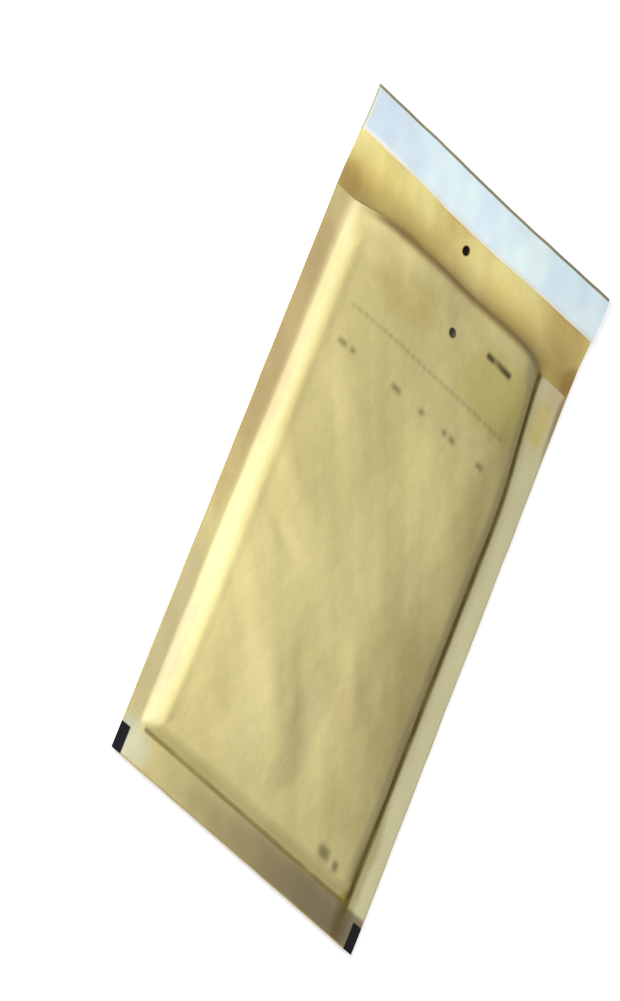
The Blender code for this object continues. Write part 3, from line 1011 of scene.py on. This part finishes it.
def back_sheet():
    """Back sheet: the under face, and the same face raised by the paper's thickness."""
    half = stations(0, (HOLE_RADIUS, HOLE_STEP), (POUCH_HALF - 9 * MM, COARSE),
                    (POUCH_HALF + 1 * MM, BACK_FINE), (HALF_WIDTH, COARSE))
    lines = stations(BOTTOM_Y, (POUCH_START_Y - 1 * MM, COARSE), (POUCH_START_Y + 9 * MM, BACK_FINE),
                     (MOUTH_Y - 4 * MM, BACK_COARSE), (FLAP_HOLE_Y - HOLE_RADIUS, MEDIUM),
                     (FLAP_HOLE_Y + HOLE_RADIUS, HOLE_STEP), (FLAP_END_Y - 1 * MM, MEDIUM),
                     (FLAP_END_Y, FINE))
    x, y = np.meshgrid(mirrored(half), lines)
    kept = open_cells(x, y, FLAP_HOLE_Y)
    x, y = round_off(x, y, FLAP_HOLE_Y)
    under = np.stack([x, y, back_face(x, y)], axis=2)
    upper = under + PAPER * grid_normals(under)
    mesh = sheet_mesh("back_panel_and_flap", upper, under, kept)
    make_piece("back_panel_and_flap", mesh, "kraft_envelope", flap_kraft())


back_sheet()

# %% [markdown]
# ## Bubble film
# The lining is one web, folded once at the bottom of the pocket. It is a flat film on the pocket's side
# and a formed film with round domes on the paper's side. Both are one grid whose second direction runs
# along the web, down one wall and up the other, so that the fold needs no joining. The finish is clear,
# glossy and a little milky. A low alpha is enough for that: so thin a film hardly bends the light.

# %% Lining sizes
FOLD_RADIUS = 0.35 * MM
FILM_INSET = 2.0 * MM
FILM_HALF = POUCH_HALF - FILM_INSET
FILM_FOLD_Y = POUCH_START_Y + 2.4 * MM
FILM_REACH = MOUTH_Y - 1.5 * MM - FILM_FOLD_Y
FOLD_ARC = math.pi * FOLD_RADIUS / 2
PAD_RISE = 4.5 * MM
FILM_HOLE = 6 * MM
FILM_COLUMNS = 101
FILM_ROWS = 369
LOW_POUCH_Z = 1.7 * HALF_STACK
LOW_POUCH_FADE = 1 * MM
FILM_GAP = 1 * MM


# %% Heights of the lining's pocket side
def pad_rise(x, y):
    """0 on the film's sealed edges, 1 once it has risen to its full thickness."""
    inside = np.minimum(FILM_HALF - np.abs(x), pouch_depth(x, y) - FILM_INSET)
    side = np.clip(inside / PAD_RISE, 0, 1)
    end = np.clip((y - FILM_FOLD_Y) / PAD_RISE, 0, 1)
    return smooth(side) * smooth(end)


def film_points(x, along):
    """Carry the flat web to the folded one: back wall, half turn, front wall."""
    turning = np.abs(along) < FOLD_ARC
    turn = np.clip(along / FOLD_RADIUS, -math.pi / 2, math.pi / 2)
    y = np.where(turning, FILM_FOLD_Y - FOLD_RADIUS * np.cos(turn), FILM_FOLD_Y + np.abs(along) - FOLD_ARC)
    edge = HALF_STACK + FOLD_RADIUS * np.sin(turn)
    front = np.maximum(0, front_face(x, y) - HALF_STACK - edge)
    back = back_face(x, y) + HALF_STACK - edge
    z = edge + np.where(along > 0, front, back) * pad_rise(x, y)
    return np.stack([x, y, z], axis=2)


# %% Make the bubble film
FILM_GREY = (0.78, 0.82, 0.84)
FILM_MILK = (0.92, 0.94, 0.95)
FILM_ALPHA = 0.38
FILM_WRINKLE = 3 * MM


def film_finish():
    """Clear glossy film: mostly see-through, slightly milky, with fine wrinkles in its gloss."""
    material, tree, place, _ = start_material("clear_film")
    wrinkles = noise(tree, place, FILM_WRINKLE, 3.0)
    milk = mix(tree, rise(tree, wrinkles, 0.35, 0.7), FILM_GREY, FILM_MILK)
    values = {"Base Color": milk, "Roughness": 0.12, "Alpha": FILM_ALPHA, "IOR": 1.5}
    finish_material(tree, values, wrinkles, 0.4, 0.15 * MM)
    return material


def bubble_film():
    """Film grid: the flat side follows the walls, the domes stand on its other side.

    Its right half is narrowed by the share that the mouth draws the foot in, plus a small gap. Domes of
    the front wall are lower where the pouch is too low for two whole layers.
    """
    columns = np.linspace(-FILM_HALF, FILM_HALF, FILM_COLUMNS)
    web = np.linspace(-FILM_REACH - FOLD_ARC, FILM_REACH + FOLD_ARC, FILM_ROWS)
    x, along = np.meshgrid(columns, web)
    narrowed = (right_foot(FILM_FOLD_Y + np.abs(along)) - FILM_GAP) / POUCH_HALF
    x = np.where(x > 0, x * narrowed, x)
    flat = film_points(x, along)
    hole = np.abs(along - (PANEL_HOLE_Y - FILM_FOLD_Y + FOLD_ARC))
    kept = ~((np.abs(x) < FILM_HOLE) & (hole < FILM_HOLE))[:-1, :-1]
    y = flat[:, :, 1]
    high_enough = smooth((front_form(x, y) - LOW_POUCH_Z) / LOW_POUCH_FADE)
    room = pad_rise(x, y) * np.where(along > 0, high_enough, 1)
    height = FILM + BUBBLE_HEIGHT * bubble_share(x, y) * room
    domes = flat + height[:, :, None] * grid_normals(flat)
    mesh = sheet_mesh("bubble_film", domes, flat, kept)
    make_piece("bubble_film", mesh, "bubble_lining", film_finish())


bubble_film()

# %% [markdown]
# ## Glue and release liner
# Both are thin strips that follow the flap, so they use the flap's own height plus what lies under
# them. The liner's lower edge is not stuck down: it stands up slightly and wanders a little. The liner is
# a smooth pale blue-white film and the glue is pale amber, so both are plain finishes with some noise.

# %% Strip sizes
SEAT_GAP = 0.2 * MM
GLUE = 0.2 * MM
LINER = 0.25 * MM
LINER_END_Y = FLAP_END_Y - 1.8 * MM
LINER_START_Y = LINER_END_Y - 17 * MM
LINER_SIDE_INSET = 0.4 * MM
GLUE_SIDE_INSET = 1.5 * MM
GLUE_WIDTH = 12 * MM
GLUE_START_Y = (LINER_START_Y + LINER_END_Y - GLUE_WIDTH) / 2
CURL = 0.2 * MM
CURL_REACH = 3 * MM
CURL_WANDER = 0.35
LINER_SWELL = 0.06 * MM
STRIP_STEP = 0.8 * MM
CURL_STEP = 0.35 * MM


def flap_top(x, y):
    """Upper face of the flap: the under face plus the paper."""
    return back_face(x, y) + PAPER


# %% Finish of the liner and the glue
LINER_BLUE = (0.74, 0.90, 1.00)
LINER_PALE = (0.84, 0.99, 1.00)
LINER_SHADE = (0.56, 0.66, 0.78)
LINER_BORDER = (0.86, 0.87, 0.82)
LINER_CLOUD = 18 * MM
LINER_WRINKLE = 7 * MM
GLUE_DEEP = (0.66, 0.58, 0.40)
GLUE_PALE = (0.78, 0.72, 0.56)
GLUE_PIT = 1.5 * MM


def liner_finish():
    """Silicone-coated liner: pale blue-white and cloudy, greyer on the left, its lower border warmer."""
    material, tree, place, parts = start_material("release_liner_film")
    clouds = noise(tree, place, LINER_CLOUD, 2.0, (1, 0.5, 1))
    tone = mix(tree, rise(tree, clouds, 0.35, 0.65), LINER_BLUE, LINER_PALE)
    left = rise(tree, parts[0], -0.2 * HALF_WIDTH, -HALF_WIDTH)
    tone = mix(tree, maths(tree, "MULTIPLY", left, 0.7), tone, LINER_SHADE)
    border = rise(tree, parts[1], LINER_START_Y + 2.2 * MM, LINER_START_Y + 1.0 * MM)
    tone = mix(tree, border, tone, LINER_BORDER)
    values = {"Base Color": tone, "Roughness": 0.38}
    finish_material(tree, values, noise(tree, place, LINER_WRINKLE, 3.0), 0.25, 0.3 * MM)
    return material


def glue_finish():
    """Tacky pale amber glue with small pits."""
    material, tree, place, _ = start_material("self_seal_glue")
    pits = noise(tree, place, GLUE_PIT, 4.0)
    tone = mix(tree, pits, GLUE_DEEP, GLUE_PALE)
    finish_material(tree, {"Base Color": tone, "Roughness": 0.3}, pits, 0.5, 0.2 * MM)
    return material


# %% Make the strips
def strip(name, start_y, end_y, half_width, base, thickness, node, material, curl=0.0):
    """Thin strip on the flap: its lower face lies at the base height, its lower edge lifted if asked."""
    half = stations(0, (half_width, STRIP_STEP))
    lines = stations(start_y, (start_y + CURL_REACH, CURL_STEP), (end_y, STRIP_STEP))
    x, y = np.meshgrid(mirrored(half), lines)
    share = np.clip(1 - (y - start_y) / CURL_REACH, 0, 1)
    wander = 1 + CURL_WANDER * waves(x, 0 * y, *CURL_WAVES)
    swell = LINER_SWELL * (1.5 + waves(x, y, *LINER_WAVES) / 2)
    lift = curl * share ** 2 * wander + (swell if curl else 0)
    under = np.stack([x, y, flap_top(x, y) + base + lift], axis=2)
    upper = under + thickness * grid_normals(under)
    make_piece(name, sheet_mesh(name, upper, under), node, material)


strip("glue_strip", GLUE_START_Y, GLUE_START_Y + GLUE_WIDTH, HALF_WIDTH - GLUE_SIDE_INSET, SEAT_GAP, GLUE,
      "adhesive_strip", glue_finish())
strip("liner_strip", LINER_START_Y, LINER_END_Y, HALF_WIDTH - LINER_SIDE_INSET, 2 * SEAT_GAP + GLUE, LINER,
      "release_liner", liner_finish(), CURL)

# %% [markdown]
# ## Floor, light and background
# The bag lies on a plain white floor. A soft key light from its left and slightly from its foot
# gives the bright left shoulder and the dark right one, helped by painted highlight and shade. The
# pale world fills the shadows. The camera sees the floor and the world as white, and the floor still
# takes the bag's shadow. Well inside the bag's outline the floor is painted dark as shade, so that no
# white shines up through the hole in the flap.

# %% White floor that keeps the shadow
FLOOR_SIZE = 6.0
FLOOR_GLOW = 0.6
FLOOR_WHITE = (0.92, 0.92, 0.92)
# Painted shade under the bag.
FLOOR_SHADE = (0.02, 0.018, 0.012)
DARK_INSET = 8 * MM
DARK_FULL_ACROSS = 30 * MM
DARK_FULL_ALONG = 20 * MM


def seen_directly(tree):
    """1 for rays from the camera, and for those that gloss or clear film send on."""
    path = tree.nodes.new("ShaderNodeLightPath")
    names = ("Is Camera Ray", "Is Glossy Ray", "Is Transmission Ray")
    return strongest(tree, [path.outputs[name] for name in names])


def make_floor():
    """Large plane with a diffuse white finish, painted dark as shade well inside the bag's outline, and a
    glow that only direct views see.
    """
    half = FLOOR_SIZE / 2
    corners = [(-half, -half, 0), (half, -half, 0), (half, half, 0), (-half, half, 0)]
    mesh = bpy.data.meshes.new("floor")
    mesh.from_pydata(corners, [], [(0, 1, 2, 3)])
    material, tree, _, parts = start_material("white_floor")
    across = maths(tree, "ABSOLUTE", parts[0])
    along = maths(tree, "ABSOLUTE", parts[1])
    past_side = rise(tree, across, HALF_WIDTH - DARK_FULL_ACROSS, HALF_WIDTH - DARK_INSET)
    past_end = rise(tree, along, FLAP_END_Y - DARK_FULL_ALONG, FLAP_END_Y - DARK_INSET)
    beside = maths(tree, "MAXIMUM", past_side, past_end)
    glow = multiply(tree, seen_directly(tree), beside, FLOOR_GLOW)
    # Painted shade inside the bag's outline, white beyond it.
    white = mix(tree, beside, FLOOR_SHADE, FLOOR_WHITE)
    values = {"Base Color": white, "Roughness": 0.9, "Specular IOR Level": 0.0}
    values |= {"Emission Color": (1, 1, 1, 1), "Emission Strength": glow}
    finish_material(tree, values)
    mesh.materials.append(material)
    floor = bpy.data.objects.new("floor", mesh)
    bpy.context.scene.collection.objects.link(floor)


make_floor()


# %% World and lamps
WORLD_FILL = 0.32
KEY_AT = Vector((-0.465, -0.130, 0.325))
KEY_SIZE = 0.22
KEY_WATTS = 4.2


def make_world():
    """Pale fill light, seen as pure white."""
    world = bpy.data.worlds.new("studio")
    world.use_nodes = True
    tree = world.node_tree
    tree.nodes.clear()
    share = seen_directly(tree)
    strength = maths(tree, "MULTIPLY_ADD", share, 1 - WORLD_FILL, WORLD_FILL)
    back = add_node(tree, "ShaderNodeBackground", {"Color": (1, 1, 1, 1), "Strength": strength})
    output = tree.nodes.new("ShaderNodeOutputWorld")
    tree.links.new(back.outputs[0], output.inputs["Surface"])
    bpy.context.scene.world = world


def make_lamp(name, at, aim, size, watts):
    """Square area lamp turned towards its aim."""
    light = bpy.data.lights.new(name, "AREA")
    light.size = size
    light.energy = watts
    lamp = bpy.data.objects.new(name, light)
    turn = (aim - at).to_track_quat("-Z", "Y").to_matrix().to_4x4()
    lamp.matrix_world = Matrix.Translation(at) @ turn
    bpy.context.scene.collection.objects.link(lamp)


make_world()
make_lamp("key", KEY_AT, Vector((0, 0, 0)), KEY_SIZE, KEY_WATTS)
bpy.context.scene.view_settings.view_transform = "Standard"
